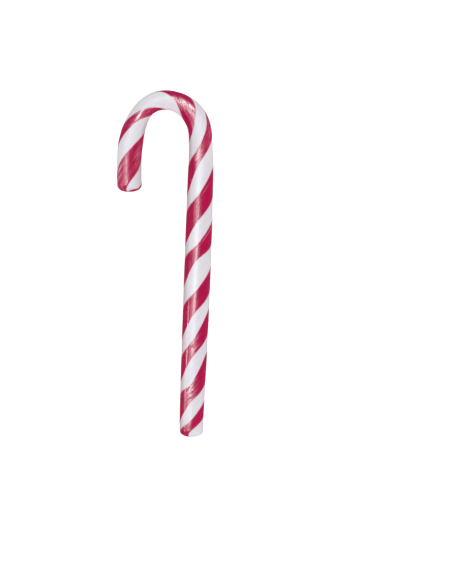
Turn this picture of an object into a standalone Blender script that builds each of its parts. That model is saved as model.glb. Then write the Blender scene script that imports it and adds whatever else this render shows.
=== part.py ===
"""Candy cane: one solid stick of pulled sugar, bent over into a crook.

The stick lies flat on its side, as it does while it cools: the bend is in the XY plane, the
straight shaft runs up +Y, the crook leans over to -X, and +Z is up.  The origin is under the
middle of its box, on the surface that it rests on.  Lengths are in metres, angles in degrees.
"""

import math

import bmesh
import bpy
from mathutils import Matrix, Vector

MM = 0.001

# ---- the bend: (what it is, length along the middle line in mm, how far it turns left in degrees)
FOOT_HEADING = 89.4          # direction of the stick where it starts, from +X
BEND = (
    ("foot",           20.0, -2.0),
    ("shaft",          97.2,  1.0),
    ("neck",           14.0,  4.0),
    ("right shoulder", 12.0, 42.0),
    ("crown",          12.0, 46.0),
    ("left shoulder",  12.0, 57.0),
    ("upper leg",      10.0, 20.0),
    ("leg",            12.2, 12.0),
    ("leg end",        13.2,  3.0),
)
BEND_BLEND = 8.0             # mm over which one stretch's turning passes into the next
LENGTH = sum(length for _, length, _ in BEND)

# ---- the thickness seen from above: (mm from the foot, diameter in mm)
THICKNESS = (
    (0.0,   10.25),
    (14.0,  10.45),
    (36.0,  11.05),
    (70.0,  11.4),
    (94.0,  11.35),
    (114.0, 11.0),
    (128.0, 10.2),
    (141.0, 9.85),
    (153.0, 8.2),
    (163.0, 8.25),
    (173.0, 9.55),
    (183.0, 10.5),
    (LENGTH, 10.5),
)
# the sugar is drawn thinner across the bend than through its depth
CROWN_AT = 158.0
CROWN_REACH = 32.0
CROWN_DEEPER = 0.12

# ---- the two ends: blunt, softly domed, with a round rim
END_LENGTH = 0.60            # of the radius
END_POWER = 2.3              # 2 is an ellipse, more is flatter with a tighter rim
END_RINGS = 6

# ---- the surface's facets
SIDES = 28
SHAFT_STEP = 2.6             # mm between rings on the shaft
CROOK_STEP = 1.45            # mm between rings in the crook
CROOK_FROM = 116.0           # mm from the foot
LINE_STEP = 0.1              # mm between the points that the middle line is summed over


def ramp(x, blend):
    """Distance past a corner at x = 0, with the corner rounded off over the blend."""
    if x <= -blend / 2:
        return 0.0
    if x >= blend / 2:
        return x
    u = x / blend + 0.5
    return blend * (u ** 3 - u ** 4 / 2)


def heading(s):
    """Direction of the middle line at s mm from the foot."""
    turned, start = 0.0, 0.0
    for _, length, turn in BEND:
        turned += turn / length * (ramp(s - start, BEND_BLEND) - ramp(s - start - length, BEND_BLEND))
        start += length
    return math.radians(FOOT_HEADING + turned)


def middle_line():
    """Points every LINE_STEP along the middle line, in mm, starting at (0, 0)."""
    count = round(LENGTH / LINE_STEP)
    x = y = 0.0
    line = [(x, y)]
    for i in range(count):
        along = heading((i + 0.5) * LINE_STEP)
        x += math.cos(along) * LINE_STEP
        y += math.sin(along) * LINE_STEP
        line.append((x, y))
    return line


def point_at(line, s):
    at = min(max(s / LINE_STEP, 0.0), len(line) - 1.000001)
    i = int(at)
    f = at - i
    (x0, y0), (x1, y1) = line[i], line[i + 1]
    return x0 + (x1 - x0) * f, y0 + (y1 - y0) * f


def radius(s):
    """Half the thickness at s, with a smooth slope through every station."""
    stations = THICKNESS
    slopes = []
    for i, (at, d) in enumerate(stations):
        if i in (0, len(stations) - 1):
            slopes.append(0.0)
            continue
        (a0, d0), (a1, d1) = stations[i - 1], stations[i + 1]
        before, after = (d - d0) / (at - a0), (d1 - d) / (a1 - at)
        slopes.append(0.0 if before * after <= 0 else 2 * before * after / (before + after))
    for i in range(len(stations) - 1):
        (a0, d0), (a1, d1) = stations[i], stations[i + 1]
        if s <= a1 or i == len(stations) - 2:
            w = a1 - a0
            t = min(max((s - a0) / w, 0.0), 1.0)
            h00, h10 = (1 + 2 * t) * (1 - t) ** 2, t * (1 - t) ** 2
            h01, h11 = t * t * (3 - 2 * t), t * t * (t - 1)
            return (h00 * d0 + h10 * w * slopes[i] + h01 * d1 + h11 * w * slopes[i + 1]) / 2


def depth_radius(s):
    """Half the depth at s: the radius, a little more round the crown."""
    t = min(abs(s - CROWN_AT) / CROWN_REACH, 1.0)
    return radius(s) * (1 + CROWN_DEEPER * (0.5 + 0.5 * math.cos(math.pi * t)))


def ring_places():
    """(s, share of the full section) for every ring, from the foot's tip to the leg's tip."""
    foot, leg = END_LENGTH * radius(0), END_LENGTH * radius(LENGTH)
    places = []
    for i in range(1, END_RINGS):
        a = math.pi / 2 * i / END_RINGS
        share = math.sin(a) ** (2 / END_POWER)
        places.append((foot * (1 - math.cos(a) ** (2 / END_POWER)), share))
    first = len(places)
    middle = []
    s = foot
    while s < LENGTH - leg:
        middle.append(s)
        s += CROOK_STEP if s > CROOK_FROM else SHAFT_STEP
    if LENGTH - leg - middle[-1] < CROOK_STEP / 2:
        middle.pop()
    middle.append(LENGTH - leg)
    for s in middle:
        places.append((s, 1.0))
    for i in reversed(range(1, END_RINGS)):
        a = math.pi / 2 * i / END_RINGS
        share = math.sin(a) ** (2 / END_POWER)
        places.append((LENGTH - leg * (1 - math.cos(a) ** (2 / END_POWER)), share))
    return places


def section(s, share):
    """(across, up) of each vertex of the ring at s, in mm.

    The first vertex points straight down.  It is lifted level with its two neighbours, which
    makes the narrow flat that the stick rests on.
    """
    across, deep = radius(s) * share, depth_radius(s) * share
    step = 2 * math.pi / SIDES
    lowest = -deep * math.cos(step)
    ring = []
    for j in range(SIDES):
        a = -math.pi / 2 + j * step
        ring.append((across * math.cos(a), max(deep * math.sin(a), lowest)))
    return ring


def resting_height(s):
    """Height of the middle line over the surface, so that the flat lies on it."""
    return depth_radius(s) * math.cos(2 * math.pi / SIDES)


def make_cane():
    line = middle_line()
    mesh = bmesh.new()
    rings = []
    for s, share in ring_places():
        x, y = point_at(line, s)
        along = heading(s)
        right = Vector((math.sin(along), -math.cos(along), 0.0))
        middle = Vector((x, y, resting_height(s)))
        ring = []
        for across, up in section(s, share):
            ring.append(mesh.verts.new((middle + right * across + Vector((0, 0, up))) * MM))
        rings.append(ring)
    for low, high in zip(rings, rings[1:]):
        for j in range(SIDES):
            k = (j + 1) % SIDES
            mesh.faces.new((low[j], low[k], high[k], high[j]))
    for ring, s in ((rings[0], 0.0), (rings[-1], LENGTH)):
        x, y = point_at(line, s)
        tip = mesh.verts.new(Vector((x, y, resting_height(s))) * MM)
        for j in range(SIDES):
            mesh.faces.new((ring[j], ring[(j + 1) % SIDES], tip))
    bmesh.ops.recalc_face_normals(mesh, faces=mesh.faces)

    # the origin goes under the middle of the box
    low = [min(v.co[i] for v in mesh.verts) for i in range(3)]
    high = [max(v.co[i] for v in mesh.verts) for i in range(3)]
    centre = Vector(((low[0] + high[0]) / 2, (low[1] + high[1]) / 2, low[2]))
    bmesh.ops.transform(mesh, matrix=Matrix.Translation(-centre), verts=mesh.verts)

    data = bpy.data.meshes.new("candy_cane")
    mesh.to_mesh(data)
    mesh.free()
    data.shade_smooth()
    data.set_sharp_from_angle(angle=math.radians(50))
    return data


def candy_material():
    material = bpy.data.materials.new("candy")
    material.use_nodes = True
    shader = material.node_tree.nodes["Principled BSDF"]
    shader.inputs["Base Color"].default_value = (0.80, 0.42, 0.47, 1.0)
    shader.inputs["Roughness"].default_value = 0.25
    shader.inputs["Metallic"].default_value = 0.0
    return material


def main():
    for old in list(bpy.data.objects):
        bpy.data.objects.remove(old, do_unlink=True)
    cane = bpy.data.objects.new("candy_cane", make_cane())
    cane.data.materials.append(candy_material())
    bpy.context.scene.collection.objects.link(cane)


main()
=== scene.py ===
"""The candy cane's looks: pulled white sugar with crimson stripes wound round it, lying on a pale table.

Everything is computed from named sizes.  Lengths are in mm until the mesh is made, angles in degrees.
The stick is described by two numbers: s, the distance along its middle line from the foot's tip, and
theta, the angle round it from the top, positive towards the inside of the crook.
"""

import math

import bpy
import numpy as np
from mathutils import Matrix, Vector, noise


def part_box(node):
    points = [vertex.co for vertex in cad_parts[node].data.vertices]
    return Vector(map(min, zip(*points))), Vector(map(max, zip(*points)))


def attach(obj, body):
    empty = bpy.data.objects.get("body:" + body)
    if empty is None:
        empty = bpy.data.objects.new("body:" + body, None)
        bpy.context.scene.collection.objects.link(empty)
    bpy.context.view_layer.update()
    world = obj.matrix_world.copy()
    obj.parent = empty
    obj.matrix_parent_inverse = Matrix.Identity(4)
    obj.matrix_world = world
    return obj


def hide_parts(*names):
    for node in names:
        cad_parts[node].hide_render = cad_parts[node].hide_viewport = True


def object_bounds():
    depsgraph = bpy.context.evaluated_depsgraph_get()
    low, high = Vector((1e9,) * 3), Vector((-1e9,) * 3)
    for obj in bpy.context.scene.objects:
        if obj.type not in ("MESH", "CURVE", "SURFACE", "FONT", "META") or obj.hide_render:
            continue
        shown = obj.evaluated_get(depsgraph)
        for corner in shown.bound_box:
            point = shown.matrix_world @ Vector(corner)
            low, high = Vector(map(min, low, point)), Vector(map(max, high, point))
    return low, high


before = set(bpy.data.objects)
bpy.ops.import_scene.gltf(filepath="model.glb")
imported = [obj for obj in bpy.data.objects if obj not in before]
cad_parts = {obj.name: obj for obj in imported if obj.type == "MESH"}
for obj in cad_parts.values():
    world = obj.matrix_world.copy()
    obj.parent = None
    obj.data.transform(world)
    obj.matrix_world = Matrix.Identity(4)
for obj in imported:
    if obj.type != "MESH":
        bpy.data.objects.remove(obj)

MM = 0.001


def corners(box):
    return [list(map(float, box[0])), list(map(float, box[1]))]


cad_box = corners(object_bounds())

# ------------------------------------------------------------------ the bend and the thickness
FOOT_HEADING = 89.4
BEND = (  # (length along the middle line, how far it turns left)
    (20.0, -2.0),   # foot
    (97.2, 1.0),    # shaft
    (14.0, 4.0),    # neck
    (12.0, 42.0),   # right shoulder
    (12.0, 46.0),   # crown
    (12.0, 57.0),   # left shoulder
    (10.0, 20.0),   # upper leg
    (12.2, 12.0),   # leg
    (13.2, 3.0),    # leg end
)
BEND_BLEND = 8.0
LENGTH = sum(length for length, _ in BEND)
THICKNESS = (  # (distance from the foot's tip, diameter seen from above)
    (0.0, 10.25),
    (14.0, 10.45),
    (36.0, 11.05),
    (70.0, 11.4),
    (94.0, 11.35),
    (114.0, 11.0),
    (128.0, 10.2),
    (141.0, 9.85),
    (153.0, 8.2),
    (163.0, 8.25),
    (173.0, 9.55),
    (183.0, 10.5),
    (LENGTH, 10.5),
)
CROWN_AT, CROWN_REACH, CROWN_DEEPER = 158.0, 32.0, 0.12
OVAL = (  # (distance from the foot's tip, how much fatter the inner slope is than the outer one)
    (0.0, 0.0),
    (118.0, 0.0),
    (138.0, -0.05),
    (152.0, -0.05),
    (166.0, 0.04),
    (180.0, -0.045),
    (LENGTH, -0.045),
)
END_LENGTH, END_POWER = 0.60, 2.3
FLAT_HALF_ANGLE = 360.0 / 28  # half of the arc that is settled flat underneath
VISUAL_FATTER = 1.0           # thickness of the finished surface over the plain solid's

# ------------------------------------------------------------------ the stripes
# Where each stripe's two edges cross three lines along the stick: 60 degrees inwards of the top, 10
# degrees inwards of it and 60 degrees outwards of it.  Between those lines an edge winds on evenly,
# and it turns a soft corner at each.  A wide stripe and a narrower one take turns: it is a two-start
# helix, pulled and rolled by hand, so no two stripes are quite alike.
CORNERS = (60.0, 10.0, -60.0)
SOFT_CORNER = 15.0            # degrees to each side over which a corner is rounded
STRIPES = (
    # lower edge            upper edge
    ((-7.1, 2.4, 7.5), (3.7, 6.6, 14.6)),
    ((7.7, 14.9, 21.6), (19.8, 22.3, 36.0)),
    ((25.1, 34.5, 42.7), (36.2, 41.4, 54.4)),
    ((43.7, 53.3, 61.1), (57.7, 62.3, 72.1)),
    ((66.2, 76.3, 81.9), (78.7, 82.4, 92.4)),
    ((84.1, 92.8, 101.6), (99.1, 103.8, 115.7)),
    ((105.9, 118.0, 127.8), (119.4, 125.1, 138.5)),
    ((129.6, 137.8, 145.7), (145.1, 149.9, 157.4)),
    ((157.5, 165.1, 173.5), (166.6, 171.2, 182.5)),
    ((177.8, 183.5, 192.3), (192.8, 198.0, 207.8)),
    ((201.4, 201.9, 203.8), (213.5, 219.5, 228.0)),
)
HIDDEN_PINCH = 2.0            # how much each edge draws in again behind the stick
TWIST_PITCH, TWIST_GROWTH = 37.22, 0.0538   # mm a turn at the foot, and how it grows along the stick
TWIST_START = 188.8

# ------------------------------------------------------------------ the surface
COLUMNS = 96
RING_STEP = 0.222
END_RINGS = 14
STRIPE_PROUD = 0.045          # the red ribbons stand a little proud of the white
LUMP = 0.05                   # slow unevenness of the thickness
RIB = 0.022                   # fine ribs that follow the twist, in some places more than in others
RIBBED = (                    # (distance from the foot's tip, how ribbed the skin is there)
    (0.0, 0.1),
    (10.0, 0.3),
    (15.0, 0.9),
    (28.0, 0.9),
    (34.0, 0.65),
    (45.0, 0.55),
    (52.0, 0.3),
    (66.0, 0.2),
    (108.0, 0.2),
    (117.0, 0.35),
    (127.0, 0.35),
    (134.0, 0.35),
    (142.0, 0.6),
    (152.0, 0.6),
    (160.0, 0.3),
    (170.0, 0.3),
    (180.0, 0.5),
    (LENGTH, 0.6),
)
RIBBED_SIDE = 0.25            # how much of that is left on the shaft's side that faces the crook
DRAWN_OUT = (                 # where the red went on thin: (distance, reach along, side, reach around, how thin)
    (5.0, 4.0, 20.0, 16.0, 0.6),
    (22.0, 7.0, 14.0, 26.0, 0.55),
    (38.0, 6.0, 10.0, 22.0, 0.5),
    (54.0, 6.0, 8.0, 20.0, 0.45),
    (122.0, 6.0, 10.0, 22.0, 0.5),
    (132.0, 9.0, -48.0, 30.0, 0.9),
    (147.0, 7.0, -12.0, 34.0, 0.35),
    (168.0, 8.0, 5.0, 55.0, 0.7),
    (189.0, 8.0, 60.0, 18.0, 0.8),
    (185.0, 8.0, -66.0, 22.0, 0.6),
    (194.0, 5.0, -45.0, 32.0, 0.7),
    (198.0, 6.0, -75.0, 28.0, 0.9),
)
FLECKS_AND_GLINTS = (                   # where it is flecked with white, partly pale sugar and partly painted highlight glints: the same, and how much
    (20.0, 8.0, 12.0, 14.0, 0.8),
    (39.5, 6.0, 5.0, 10.0, 0.4),
    (121.5, 4.0, 13.0, 12.0, 0.9),
    (125.5, 4.0, 3.0, 10.0, 0.4),
    (147.2, 4.0, -9.0, 12.0, 1.0),
    (99.5, 5.0, 6.0, 12.0, 0.1),
    (167.5, 5.0, 2.0, 24.0, 0.15),
)
STREAKS_AND_GLINTS = (                  # where it has long streaks of white, mostly pale drawn sugar and at the crown and upper shaft also painted highlight: the same
    (21.0, 8.0, 10.0, 19.0, 0.9),
    (39.5, 6.0, 0.0, 16.0, 0.4),
    (121.5, 4.0, 13.0, 12.0, 0.7),
    (143.0, 6.0, 8.0, 20.0, 0.4),
    (147.2, 4.0, -9.0, 12.0, 0.8),
    (168.0, 6.0, 8.0, 30.0, 0.2),
    (190.0, 8.0, 50.0, 20.0, 0.35),
    (194.5, 6.0, -58.0, 28.0, 0.55),
)
SHADED_SIDE = (                 # how much painted shade darkens the white low on the side that faces the crook
    (0.0, 0.75),
    (125.0, 0.75),
    (136.0, 0.15),
    (145.0, 0.0),
    (165.0, 0.1),
    (172.0, 0.75),
    (180.0, 0.4),
    (LENGTH, 0.3),
)
PAINTED_LIGHT_PATCHES = (                    # and where light is painted on the white to brighten it, lifting the shade inside the crook and adding a highlight streak, as the patches above
    (151.0, 13.0, 68.0, 26.0, 0.9),
    (159.0, 7.0, -38.0, 13.0, 1.0),
)
PARTED = (62.0, 68.0, 106.0, 112.0)   # between these a thin line parts the red of the outer side


def ramp(x, blend):
    u = np.clip(x / blend + 0.5, 0.0, 1.0)
    return np.where(x > blend / 2, x, blend * (u ** 3 - u ** 4 / 2))


def heading(s):
    turned, start = np.zeros_like(s), 0.0
    for length, turn in BEND:
        turned = turned + turn / length * (ramp(s - start, BEND_BLEND) - ramp(s - start - length, BEND_BLEND))
        start += length
    return np.radians(FOOT_HEADING + turned)


def through(knots_x, knots_y, x):
    """A smooth curve through the knots that never overshoots them; straight beyond the ends."""
    kx, ky = np.asarray(knots_x, float), np.asarray(knots_y, float)
    h, d = np.diff(kx), np.diff(ky) / np.diff(kx)
    m = np.zeros_like(ky)
    same = d[:-1] * d[1:] > 0
    total = np.where(same, d[:-1] + d[1:], 1.0)
    m[1:-1] = np.where(same, 2 * d[:-1] * d[1:] / total, 0.0)
    m[0], m[-1] = d[0], d[-1]
    i = np.clip(np.searchsorted(kx, x, side="right") - 1, 0, len(h) - 1)
    t = (x - kx[i]) / h[i]
    inside = np.clip(t, 0.0, 1.0)
    y = (
        (1 + 2 * inside) * (1 - inside) ** 2 * ky[i]
        + inside * (1 - inside) ** 2 * h[i] * m[i]
        + inside ** 2 * (3 - 2 * inside) * ky[i + 1]
        + inside ** 2 * (inside - 1) * h[i] * m[i + 1]
    )
    return y + np.where(t < 0, (x - kx[i]) * m[i], 0.0) + np.where(t > 1, (x - kx[i + 1]) * m[i + 1], 0.0)


def radius(s):
    at, d = zip(*THICKNESS)
    x = np.clip(s, 0.0, LENGTH)
    return through(at, d, x) / 2 * VISUAL_FATTER


def depth_radius(s):
    t = np.minimum(np.abs(s - CROWN_AT) / CROWN_REACH, 1.0)
    return radius(s) * (1 + CROWN_DEEPER * (0.5 + 0.5 * np.cos(np.pi * t)))


def oval(s, theta):
    at, share = zip(*OVAL)
    return 1 + through(at, share, np.clip(s, 0.0, LENGTH)) * np.sin(np.radians(2 * theta))


def twist(s):
    """Degrees that the sugar has turned about the middle line at s."""
    return 360.0 / TWIST_GROWTH * np.log1p(TWIST_GROWTH * s / TWIST_PITCH) - TWIST_START


# ---- the stripes' edges as two curves for each of the two ribbons, over the unrolled angle
def ribbon(first):
    """Corners (unrolled angle, lower edge, upper edge) of every second stripe, starting at first."""
    rows = STRIPES[first::2]
    angle, low, high = [], [], []
    for n, (lows, highs) in enumerate(rows):
        for corner, a, b in zip(CORNERS, lows, highs):
            angle.append(360.0 * n - corner)
            low.append(a)
            high.append(b)
        if n + 1 < len(rows):
            nl, nh = rows[n + 1]
            angle.append(360.0 * n + 180.0)
            low.append((lows[2] + nl[0]) / 2 + HIDDEN_PINCH)
            high.append((highs[2] + nh[0]) / 2 - HIDDEN_PINCH)
    angle, low, high = map(np.array, (angle, low, high))
    # one more turn before the first corner and after the last, at the pitch that each end has
    for back in (True, False):
        i, j = (0, 4) if back else (len(angle) - 3, len(angle) - 7)
        turn = low[j] - low[i]
        more = angle < 300.0 - 1 if back else angle > angle[-1] - 300.0 + 1
        way = -360.0 if back else 360.0
        shift = -turn if back else -turn
        parts = [(angle[more] + way, angle), (low[more] + shift, low), (high[more] + shift, high)]
        angle, low, high = (np.concatenate(p if back else p[::-1]) for p in parts)
    return angle, low, high


RIBBONS = [ribbon(0), ribbon(1)]


def edge_place(angle, edge, phi):
    offsets = np.linspace(-SOFT_CORNER, SOFT_CORNER, 7)
    return np.mean([np.interp(phi + o, angle, edge) for o in offsets], axis=0)


def stripe_distance(s, theta):
    """Signed distance in mm to the nearest stripe's edge, negative in the red, and how far across the stripe."""
    best = np.full(s.shape, 1e9)
    across = np.zeros(s.shape)
    for angle, low, high in RIBBONS:
        for n in range(-1, 8):
            phi = 360.0 * n - theta
            inside = (phi > angle[0]) & (phi < angle[-1])
            lower, upper = edge_place(angle, low, phi), edge_place(angle, high, phi)
            d = np.where(inside, np.maximum(lower - s, s - upper), 1e9)
            closer = d < best
            best = np.where(closer, d, best)
            across = np.where(closer, (s - lower) / (upper - lower), across)
    around = 2 * np.pi * radius(s)
    pitch = TWIST_PITCH + TWIST_GROWTH * s
    lean = around / np.hypot(around, pitch)      # along the stick to square across the stripe
    return best * lean, np.clip(across, -1.0, 2.0)


# ------------------------------------------------------------------ the mesh
def middle_line():
    step = 0.02
    t = np.arange(0.0, LENGTH + step / 2, step)
    mid = heading((t[1:] + t[:-1]) / 2)
    x = np.concatenate([[0.0], np.cumsum(np.cos(mid) * step)])
    y = np.concatenate([[0.0], np.cumsum(np.sin(mid) * step)])
    return t, x, y


def ring_places():
    foot, leg = END_LENGTH * float(radius(np.array(0.0))), END_LENGTH * float(radius(np.array(LENGTH)))
    a = np.pi / 2 * np.arange(1, END_RINGS) / END_RINGS
    share = np.sin(a) ** (2 / END_POWER)
    back = 1 - np.cos(a) ** (2 / END_POWER)
    count = int(round((LENGTH - foot - leg) / RING_STEP))
    middle = np.linspace(foot, LENGTH - leg, count + 1)
    s = np.concatenate([foot * back, middle, LENGTH - leg * back[::-1]])
    return s, np.concatenate([share, np.ones(count + 1), share[::-1]])


def patches(table, s, theta):
    """How much of what the table lists there is there, from 0 to 1."""
    share = np.zeros(s.shape)
    for at, reach, side, width, much in table:
        far = ((s - at) / reach) ** 2 + ((theta - side) / width) ** 2
        share = np.maximum(share, much * np.exp(-far))
    return share


def grain_noise(points, scale, seed):
    """Blender's own smooth noise at many points, from -1 to 1."""
    shift = Vector((seed * 17.3, seed * 5.1, seed * 9.7))
    return np.array([noise.noise(Vector(p) * scale + shift) for p in points])


def cane_mesh():
    rings_s, rings_share = ring_places()
    alpha = np.arange(COLUMNS) * 360.0 / COLUMNS
    s = np.repeat(rings_s, COLUMNS)
    share = np.repeat(rings_share, COLUMNS)
    a = np.tile(alpha, len(rings_s))
    # the columns turn with the sugar, but not over the rounded ends
    foot, leg = END_LENGTH * float(radius(np.array(0.0))), END_LENGTH * float(radius(np.array(LENGTH)))
    theta = (a - twist(np.clip(s, foot, LENGTH - leg)) + 180.0) % 360.0 - 180.0

    d, across_stripe = stripe_distance(s, theta)
    turned = np.radians(a)
    r = radius(s)
    grain = np.stack([r * np.cos(turned), r * np.sin(turned), s], 1)

    # relief, in mm outwards
    proud = STRIPE_PROUD * (0.5 - 0.5 * np.tanh(d / 0.35))
    lay = np.stack([np.cos(np.radians(theta)) * 4.5, np.sin(np.radians(theta)) * 4.5, s], 1)
    lumps = LUMP * grain_noise(lay, 0.11, 1) + 0.4 * LUMP * grain_noise(lay, 0.33, 2)
    fine = grain * np.array([1.0, 1.0, 0.16])
    at, much = zip(*RIBBED)
    pulled = np.interp(s, at, much) * (0.65 + 0.35 * np.clip(0.5 + 1.6 * grain_noise(lay, 0.09, 5), 0.0, 1.0))
    side = np.clip((theta - 17.0) / 12.0, 0.0, 1.0) * np.clip((122.0 - s) / 10.0, 0.0, 1.0)
    pulled = pulled * (1.0 + (RIBBED_SIDE - 1.0) * side)
    ribs = RIB * pulled * (grain_noise(fine, 0.75, 3) + 0.6 * grain_noise(fine, 1.3, 4))
    relief = (proud + lumps + ribs) * np.clip(share * 1.4 - 0.4, 0.0, 1.0)

    # painted shade: the white is darkened low on the side that faces the crook
    at, much = zip(*SHADED_SIDE)
    down = np.clip((theta - 40.0) / 26.0, 0.0, 1.0)
    side_shade = np.interp(s, at, much) * down ** 2 * (3 - 2 * down)
    parted = np.interp(s, PARTED, (0.0, 1.0, 1.0, 0.0)) * np.clip((-4.0 - theta) / 18.0, 0.0, 1.0)

    t = np.radians(theta)
    lopsided = oval(s, theta)
    across = (r * share * lopsided + relief) * np.sin(t)
    up = (depth_radius(s) * share * lopsided + relief) * np.cos(t)
    line_s, line_x, line_y = middle_line()
    x, y = np.interp(s, line_s, line_x), np.interp(s, line_s, line_y)
    h = heading(s)
    rest = depth_radius(s) * math.cos(math.radians(FLAT_HALF_ANGLE))
    # theta is positive to the left of the way the stick runs
    px = x - np.sin(h) * across
    py = y + np.cos(h) * across
    pz = np.maximum(rest + up, 0.0)
    points = np.stack([px, py, pz], 1)

    tips = []
    for at in (0.0, LENGTH):
        z = float(depth_radius(np.array(at))) * math.cos(math.radians(FLAT_HALF_ANGLE))
        tips.append((float(np.interp(at, line_s, line_x)), float(np.interp(at, line_s, line_y)), z))
    points = np.concatenate([points, np.array(tips)])
    n = len(rings_s)
    ring = np.arange(n * COLUMNS).reshape(n, COLUMNS)
    after = np.roll(ring, -1, 1)
    quads = np.stack([ring[:-1], ring[1:], after[1:], after[:-1]], -1).reshape(-1, 4)
    foot_tip, leg_tip = n * COLUMNS, n * COLUMNS + 1
    faces = quads.tolist()
    faces += [[foot_tip, int(ring[0, j]), int(after[0, j])] for j in range(COLUMNS)]
    faces += [[leg_tip, int(after[-1, j]), int(ring[-1, j])] for j in range(COLUMNS)]
    tip_grain = [[0.0, 0.0, 0.0], [0.0, 0.0, LENGTH]]
    values = {
        "stripe": np.concatenate([d, [2.0, 2.0]]),
        "across": np.concatenate([across_stripe, [-1.0, -1.0]]),
        "share": np.concatenate([share, [0.0, 0.0]]),
        "place": np.concatenate([s, [0.0, LENGTH]]),
        "theta": np.concatenate([theta, [0.0, 0.0]]),
        "pulled": np.concatenate([pulled, [0.0, 0.0]]),
        "thin": np.concatenate([patches(DRAWN_OUT, s, theta), [0.0, 0.0]]),
        "fleck_and_glint": np.concatenate([patches(FLECKS_AND_GLINTS, s, theta), [0.0, 0.0]]),
        "streak_and_glint": np.concatenate([patches(STREAKS_AND_GLINTS, s, theta), [0.0, 0.0]]),
        "side_shade": np.concatenate([side_shade, [0.0, 0.0]]),
        "painted_light": np.concatenate([patches(PAINTED_LIGHT_PATCHES, s, theta), [0.0, 0.0]]),
        "parted": np.concatenate([parted, [0.0, 0.0]]),
        "grain": np.concatenate([grain, tip_grain]),
    }
    # the same place as the plain solid: its box's middle is over the origin
    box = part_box("candy_cane")
    outline_x = np.array([points[:, 0].min(), points[:, 0].max()])
    outline_y = np.array([points[:, 1].min(), points[:, 1].max()])
    points[:, 0] += (box[0][0] + box[1][0]) / 2 / MM - outline_x.mean()
    points[:, 1] += (box[0][1] + box[1][1]) / 2 / MM - outline_y.mean()
    points[:, 2] += box[0][2] / MM
    return points * MM, faces, values, unrolled(points, n)


def unrolled(points, n):
    """The skin laid flat in two rows, by the length along it: two numbers for every corner of every face."""
    rings = points[: n * COLUMNS].reshape(n, COLUMNS, 3)
    steps = np.linalg.norm(np.diff(rings, axis=0), axis=2).mean(1)
    ends = [float(np.linalg.norm(rings[i] - points[n * COLUMNS + k], axis=1).mean()) for k, i in ((0, 0), (1, -1))]
    arc = np.concatenate([[0.0], np.cumsum(steps)]) + ends[0]
    half = n // 2
    column = np.arange(COLUMNS)

    def place(along, columns, row):
        first, last = (0.0, arc[half]) if row == 0 else (arc[half], arc[-1] + ends[1])
        u = 0.004 + 0.992 * (along - first) / (last - first)
        v = 0.5 * row + 0.006 + 0.488 * columns / COLUMNS
        return np.stack(np.broadcast_arrays(u, v), -1)

    rows = []
    for i in range(n - 1):
        row = 0 if i < half else 1
        corner = [place(arc[i], column, row), place(arc[i + 1], column, row)]
        corner += [place(arc[i + 1], column + 1, row), place(arc[i], column + 1, row)]
        rows.append(np.stack(corner, 1).reshape(-1, 2))
    foot = [place(0.0, column + 0.5, 0), place(arc[0], column, 0), place(arc[0], column + 1, 0)]
    leg = [place(arc[-1] + ends[1], column + 0.5, 1), place(arc[-1], column + 1, 1), place(arc[-1], column, 1)]
    rows += [np.stack(foot, 1).reshape(-1, 2), np.stack(leg, 1).reshape(-1, 2)]
    return np.concatenate(rows)


def make_cane():
    points, faces, values, flat = cane_mesh()
    mesh = bpy.data.meshes.new("candy_cane_body")
    mesh.from_pydata(points.tolist(), [], faces)
    mesh.update()
    for name, v in values.items():
        if v.ndim == 1:
            mesh.attributes.new(name, "FLOAT", "POINT").data.foreach_set("value", v.astype(np.float32))
        else:
            mesh.attributes.new(name, "FLOAT_VECTOR", "POINT").data.foreach_set("vector", v.astype(np.float32).ravel())
    mesh.uv_layers.new(name="OFBake").data.foreach_set("uv", flat.astype(np.float32).ravel())
    mesh.shade_smooth()
    cane = bpy.data.objects.new("candy_cane_body", mesh)
    bpy.context.scene.collection.objects.link(cane)
    return cane


# ------------------------------------------------------------------ the sugar
def srgb(r, g, b):
    def one(v):
        v /= 255.0
        return v / 12.92 if v <= 0.04045 else ((v + 0.055) / 1.055) ** 2.4
    return (one(r), one(g), one(b), 1.0)


CRIMSON_DEEP, CRIMSON = srgb(160, 0, 62), srgb(171, 0, 70)
# the second is the white of the flecks and streaks, partly painted highlight glints
ROSE, FLECK_GLINT_WHITE = srgb(206, 100, 128), srgb(231, 207, 213)
MILK, MILK_GREY = srgb(207, 203, 210), srgb(203, 198, 205)
BLUSH = srgb(204, 176, 186)
# the first is the white under painted shade, the second the white with painted light on it
MILK_SHADED, MILK_LIT = srgb(186, 164, 168), srgb(220, 215, 221)


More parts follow.
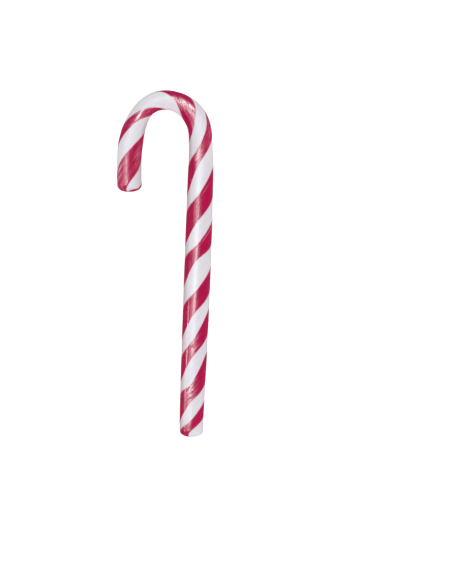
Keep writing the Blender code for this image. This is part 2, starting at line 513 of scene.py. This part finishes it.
class Nodes:
    """Short names for the few kinds of node that the material is made of."""

    def __init__(self, material):
        material.use_nodes = True
        self.tree = material.node_tree
        self.shader = self.tree.nodes["Principled BSDF"]

    def put(self, socket, value):
        if isinstance(value, bpy.types.NodeSocket):
            self.tree.links.new(value, socket)
        elif value is not None:
            socket.default_value = value

    def attribute(self, name, output="Fac"):
        n = self.tree.nodes.new("ShaderNodeAttribute")
        n.attribute_name = name
        return n.outputs[output]

    def math(self, operation, a, b=None, c=None, clamp=False):
        n = self.tree.nodes.new("ShaderNodeMath")
        n.operation, n.use_clamp = operation, clamp
        for i, v in enumerate((a, b, c)):
            self.put(n.inputs[i], v)
        return n.outputs[0]

    def stretch(self, vector, by):
        n = self.tree.nodes.new("ShaderNodeVectorMath")
        n.operation = "MULTIPLY"
        self.put(n.inputs[0], vector)
        n.inputs[1].default_value = by
        return n.outputs[0]

    def noise(self, vector, scale, detail=2.0, rough=0.5, distortion=0.0):
        n = self.tree.nodes.new("ShaderNodeTexNoise")
        self.put(n.inputs["Vector"], vector)
        n.inputs["Scale"].default_value = scale
        n.inputs["Detail"].default_value = detail
        n.inputs["Roughness"].default_value = rough
        n.inputs["Distortion"].default_value = distortion
        return n.outputs["Fac"]

    def span(self, value, low, high, to_low=0.0, to_high=1.0, smooth=True):
        n = self.tree.nodes.new("ShaderNodeMapRange")
        n.interpolation_type = "SMOOTHSTEP" if smooth else "LINEAR"
        for name, v in (("Value", value), ("From Min", low), ("From Max", high), ("To Min", to_low), ("To Max", to_high)):
            self.put(n.inputs[name], v)
        return n.outputs["Result"]

    def mix(self, share, a, b):
        n = self.tree.nodes.new("ShaderNodeMix")
        n.data_type = "RGBA"
        self.put(n.inputs["Factor"], share)
        self.put(n.inputs["A"], a)
        self.put(n.inputs["B"], b)
        return n.outputs["Result"]

    def bump(self, height, strength, distance, normal=None):
        n = self.tree.nodes.new("ShaderNodeBump")
        self.put(n.inputs["Height"], height)
        n.inputs["Strength"].default_value = strength
        n.inputs["Distance"].default_value = distance
        if normal is not None:
            self.put(n.inputs["Normal"], normal)
        return n.outputs["Normal"]


def candy_material():
    material = bpy.data.materials.new("pulled_sugar")
    k = Nodes(material)
    d = k.attribute("stripe")
    across = k.attribute("across")
    grain = k.attribute("grain", "Vector")
    pulled = k.attribute("pulled")
    streaky = k.stretch(grain, (1.0, 1.0, 0.15))
    drawn = k.stretch(grain, (1.0, 1.0, 0.06))

    # edges: feathered a little along the grain
    feather = k.math("MULTIPLY", k.math("SUBTRACT", k.noise(streaky, 2.6, 3.0), 0.5), 0.30)
    edge = k.math("ADD", d, feather)
    red = k.span(edge, -0.13, 0.13, 1.0, 0.0)

    # the red: deep crimson, a little lighter where it was drawn out thin
    tone = k.noise(streaky, 1.0, 3.0, 0.55)
    fine = k.noise(drawn, 2.6, 3.0, 0.6)
    crimson = k.mix(k.span(tone, 0.34, 0.68), CRIMSON_DEEP, CRIMSON)
    thin = k.attribute("thin")
    by_edge = k.span(edge, -1.1, -0.1, 0.0, 0.22)
    pale = k.math("MULTIPLY", k.span(fine, 0.48, 0.62, 0.12, 1.0), k.math("MULTIPLY_ADD", thin, 0.70, by_edge))
    # along the upper edge runs a line where the colour parted and the white shows through
    line = k.math("SUBTRACT", across, k.math("MULTIPLY_ADD", k.noise(drawn, 0.35, 1.0), 0.12, 0.74))
    line = k.span(k.math("ABSOLUTE", line), 0.015, 0.06, 1.0, 0.0)
    line = k.math("MULTIPLY", line, k.span(k.noise(drawn, 0.9, 1.0), 0.42, 0.52, 0.0, 0.8))
    line = k.math("MULTIPLY", line, k.attribute("parted"))
    crimson = k.mix(k.math("MAXIMUM", pale, line), crimson, ROSE)
    # white flecks and streaks, partly pale sugar and partly painted highlight glints where the highlights fall
    fleck_glints = k.span(k.noise(k.stretch(grain, (1.0, 1.0, 0.4)), 1.5, 3.0, 0.65), 0.50, 0.57)
    streak_glints = k.span(k.noise(drawn, 1.7, 1.0), 0.52, 0.60)
    fleck_glints = k.math("MULTIPLY", fleck_glints, k.attribute("fleck_and_glint"))
    streak_glints = k.math("MULTIPLY", streak_glints, k.attribute("streak_and_glint"))
    crimson = k.mix(k.math("MAXIMUM", fleck_glints, streak_glints), crimson, FLECK_GLINT_WHITE)

    # the white: milky, very faintly streaked with grey, blushing next to the red
    milk = k.mix(k.span(k.noise(streaky, 0.8, 2.0), 0.35, 0.7), MILK, MILK_GREY)
    blush = k.span(edge, 0.08, 0.8, 0.30, 0.0)
    milk = k.mix(blush, milk, BLUSH)
    # painted shade, low on the side that faces the crook
    milk = k.mix(k.attribute("side_shade"), milk, MILK_SHADED)
    # painted light: the white brightened in patches, lifting the shade inside the crook and adding a highlight streak
    milk = k.mix(k.attribute("painted_light"), milk, MILK_LIT)
    colour = k.mix(red, milk, crimson)
    k.put(k.shader.inputs["Base Color"], colour)

    # the red is glassy, the white satin, and duller where it was bent
    gloss = k.noise(streaky, 1.6, 3.0)
    satin = k.math("ADD", k.span(gloss, 0.3, 0.7, 0.34, 0.42), k.span(k.attribute("place"), 108.0, 128.0, 0.0, 0.16))
    rough = k.mix(red, satin, k.span(gloss, 0.3, 0.7, 0.15, 0.19))
    rough = k.math("MULTIPLY_ADD", thin, 0.12, rough)
    k.put(k.shader.inputs["Roughness"], rough)
    ribs = k.span(k.noise(streaky, 1.15, 1.0, 0.5), 0.38, 0.62)
    ribs = k.math("MULTIPLY", ribs, k.math("POWER", pulled, 1.5))
    height = k.math("ADD", ribs, k.math("MULTIPLY", k.noise(drawn, 3.2, 2.0), 0.08))
    k.put(k.shader.inputs["Normal"], k.bump(height, 1.0, 0.00013))
    k.shader.inputs["IOR"].default_value = 1.5
    k.shader.inputs["Subsurface Weight"].default_value = 0.25
    k.shader.inputs["Subsurface Radius"].default_value = (1.0, 0.45, 0.45)
    k.shader.inputs["Subsurface Scale"].default_value = 0.0009
    return material


# ------------------------------------------------------------------ the table, the light and the camera
PIXEL = 0.434                       # mm of the cane for each pixel of the picture
PICTURE = (452, 584)
CANE_AT = (165.2, 263.5)           # where the origin lies in the picture
LENS, SENSOR = 100.0, 36.0
TENT_LOW, TENT_HIGH = 1.13, 1.26                    # low down and overhead
TENT_SIDE, TENT_FRONT = 0.08, 0.32                  # how much more from the right, and from below the picture
TENT_MIRRORED = 0.05                                # how much of it the candy's gloss sees
TABLE_GLOW, TABLE_MIRRORED = 0.45, 0.07             # the table is lit from below too
SOFTBOXES = (
    # flat lights that face straight down, seen in the candy's gloss only: name, height, from left to
    # right, from the foot's end up the picture (in m, at that height), radiance, how much red is in it
    ("window_foot", 1.0, (-0.675, -0.30), (-0.30, -0.135), 4.5, 1.0),
    ("window_near", 1.0, (-0.675, -0.04), (-0.135, 0.04), 4.5, 1.0),
    ("window_far", 1.0, (-0.675, -0.04), (0.04, 0.50), 4.2, 1.0),
    ("lamp_near", 0.99, (-0.49, -0.09), (-0.135, -0.05), 10.0, 0.7),
    ("lamp_middle", 0.99, (-0.46, -0.08), (-0.05, -0.012), 12.0, 0.7),
    ("lamp_upper", 0.99, (-0.46, -0.01), (0.024, 0.05), 30.0, 0.7),
    ("lamp_foot", 0.98, (-0.95, -0.45), (-0.30, -0.14), 5.0, 0.7),
    ("lamp_far", 0.99, (-0.55, -0.08), (0.15, 0.26), 4.0, 0.7),
    ("tail", 0.98, (-0.04, 0.28), (0.0, 0.085), 3.0, 1.0),
    ("shoulder", 0.98, (-0.45, -0.10), (0.26, 0.50), 2.0, 1.0),
    ("haze", 1.0, (-1.21, -0.727), (-0.35, 0.40), 3.0, 1.0),
    ("panel", 0.35, (-1.58, -0.567), (-0.40, 0.03), 3.2, 1.0),
    ("strip_near", 0.345, (-1.0, -0.837), (-0.115, -0.036), 40.0, 0.9),
    ("strip_far", 0.345, (-1.0, -0.837), (-0.036, -0.01), 14.0, 0.9),
    ("inner", 1.0, (0.5, 1.6), (-1.6, -0.6), 2.5, 1.0),
    ("back", 1.0, (0.05, 0.65), (0.30, 1.20), 5.0, 1.0),
    ("lamp_back", 0.99, (-0.06, 0.18), (0.36, 0.70), 34.0, 0.7),
)


def make_table():
    bpy.ops.mesh.primitive_plane_add(size=4.0, location=(0, 0, cad_box[0][2]))
    table = bpy.context.object
    table.name = "table"
    material = bpy.data.materials.new("table")
    k = Nodes(material)
    path = k.tree.nodes.new("ShaderNodeLightPath")
    mirrored = path.outputs["Is Glossy Ray"]
    k.put(k.shader.inputs["Base Color"], k.mix(mirrored, (0.95, 0.95, 0.955, 1.0), (0.05, 0.05, 0.05, 1.0)))
    k.shader.inputs["Emission Color"].default_value = (1.0, 1.0, 1.0, 1.0)
    glow = k.math("MULTIPLY", path.outputs["Is Camera Ray"], TABLE_GLOW)
    k.put(k.shader.inputs["Emission Strength"], k.math("MULTIPLY_ADD", mirrored, TABLE_MIRRORED, glow))
    k.shader.inputs["Roughness"].default_value = 0.9
    k.shader.inputs["Specular IOR Level"].default_value = 0.1
    table.data.materials.append(material)
    return table


def softbox(name, height, left_right, down_up, radiance, red):
    """A flat light that faces down and is seen in the candy's gloss only."""
    data = bpy.data.lights.new(name, "AREA")
    data.shape = "RECTANGLE"
    data.size, data.size_y = left_right[1] - left_right[0], down_up[1] - down_up[0]
    data.energy = radiance * math.pi * data.size * data.size_y
    data.color = (red, 1.0, 1.0)
    light = bpy.data.objects.new(name, data)
    light.location = (sum(left_right) / 2, sum(down_up) / 2, height)
    light.visible_camera = False
    light.visible_diffuse = False
    bpy.context.scene.collection.objects.link(light)
    return light


def make_light():
    # a white tent: brighter low down than overhead, and dimmer in the candy's reflections than on it
    world = bpy.data.worlds.new("studio")
    world.use_nodes = True
    tree = world.node_tree
    back = tree.nodes["Background"]
    back.inputs["Color"].default_value = (1.0, 1.0, 1.0, 1.0)
    place = tree.nodes.new("ShaderNodeTexCoord")
    parts = tree.nodes.new("ShaderNodeSeparateXYZ")
    tree.links.new(place.outputs["Generated"], parts.inputs[0])
    def span(value, low, high, to_low, to_high):
        n = tree.nodes.new("ShaderNodeMapRange")
        for name, v in (("From Min", low), ("From Max", high), ("To Min", to_low), ("To Max", to_high)):
            n.inputs[name].default_value = v
        tree.links.new(value, n.inputs["Value"])
        return n.outputs["Result"]

    def times(a, b):
        n = tree.nodes.new("ShaderNodeMath")
        n.operation = "MULTIPLY"
        tree.links.new(a, n.inputs[0])
        tree.links.new(b, n.inputs[1])
        return n.outputs[0]

    path = tree.nodes.new("ShaderNodeLightPath")
    strength = times(
        span(parts.outputs["Z"], 0.0, 1.0, TENT_LOW, TENT_HIGH),
        span(parts.outputs["X"], -1.0, 1.0, 1.0 - TENT_SIDE, 1.0 + TENT_SIDE),
    )
    strength = times(strength, span(parts.outputs["Y"], -1.0, 1.0, 1.0 + TENT_FRONT, 1.0 - TENT_FRONT))
    strength = times(strength, span(path.outputs["Is Glossy Ray"], 0.0, 1.0, 1.0, TENT_MIRRORED))
    tree.links.new(strength, back.inputs["Strength"])
    bpy.context.scene.world = world
    for row in SOFTBOXES:
        softbox(*row)


def make_camera():
    data = bpy.data.cameras.new("camera")
    data.type = "PERSP"
    data.lens, data.sensor_width, data.sensor_fit = LENS, SENSOR, "AUTO"
    camera = bpy.data.objects.new("camera", data)
    distance = PICTURE[1] * PIXEL * LENS / SENSOR
    x = (PICTURE[0] / 2 - CANE_AT[0]) * PIXEL
    y = -(PICTURE[1] / 2 - CANE_AT[1]) * PIXEL
    camera.location = (x * MM, y * MM, distance * MM + 0.0055)
    camera.rotation_euler = (0.0, 0.0, 0.0)
    data.clip_start, data.clip_end = 0.01, 10.0
    bpy.context.scene.collection.objects.link(camera)
    bpy.context.scene.camera = camera
    return camera


make_camera()
make_light()
make_table()
cane = make_cane()
cane.data.materials.append(candy_material())
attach(cane, "root")
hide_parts("candy_cane")

scene = bpy.context.scene
scene.view_settings.view_transform = "Standard"
scene.view_settings.look = "None"
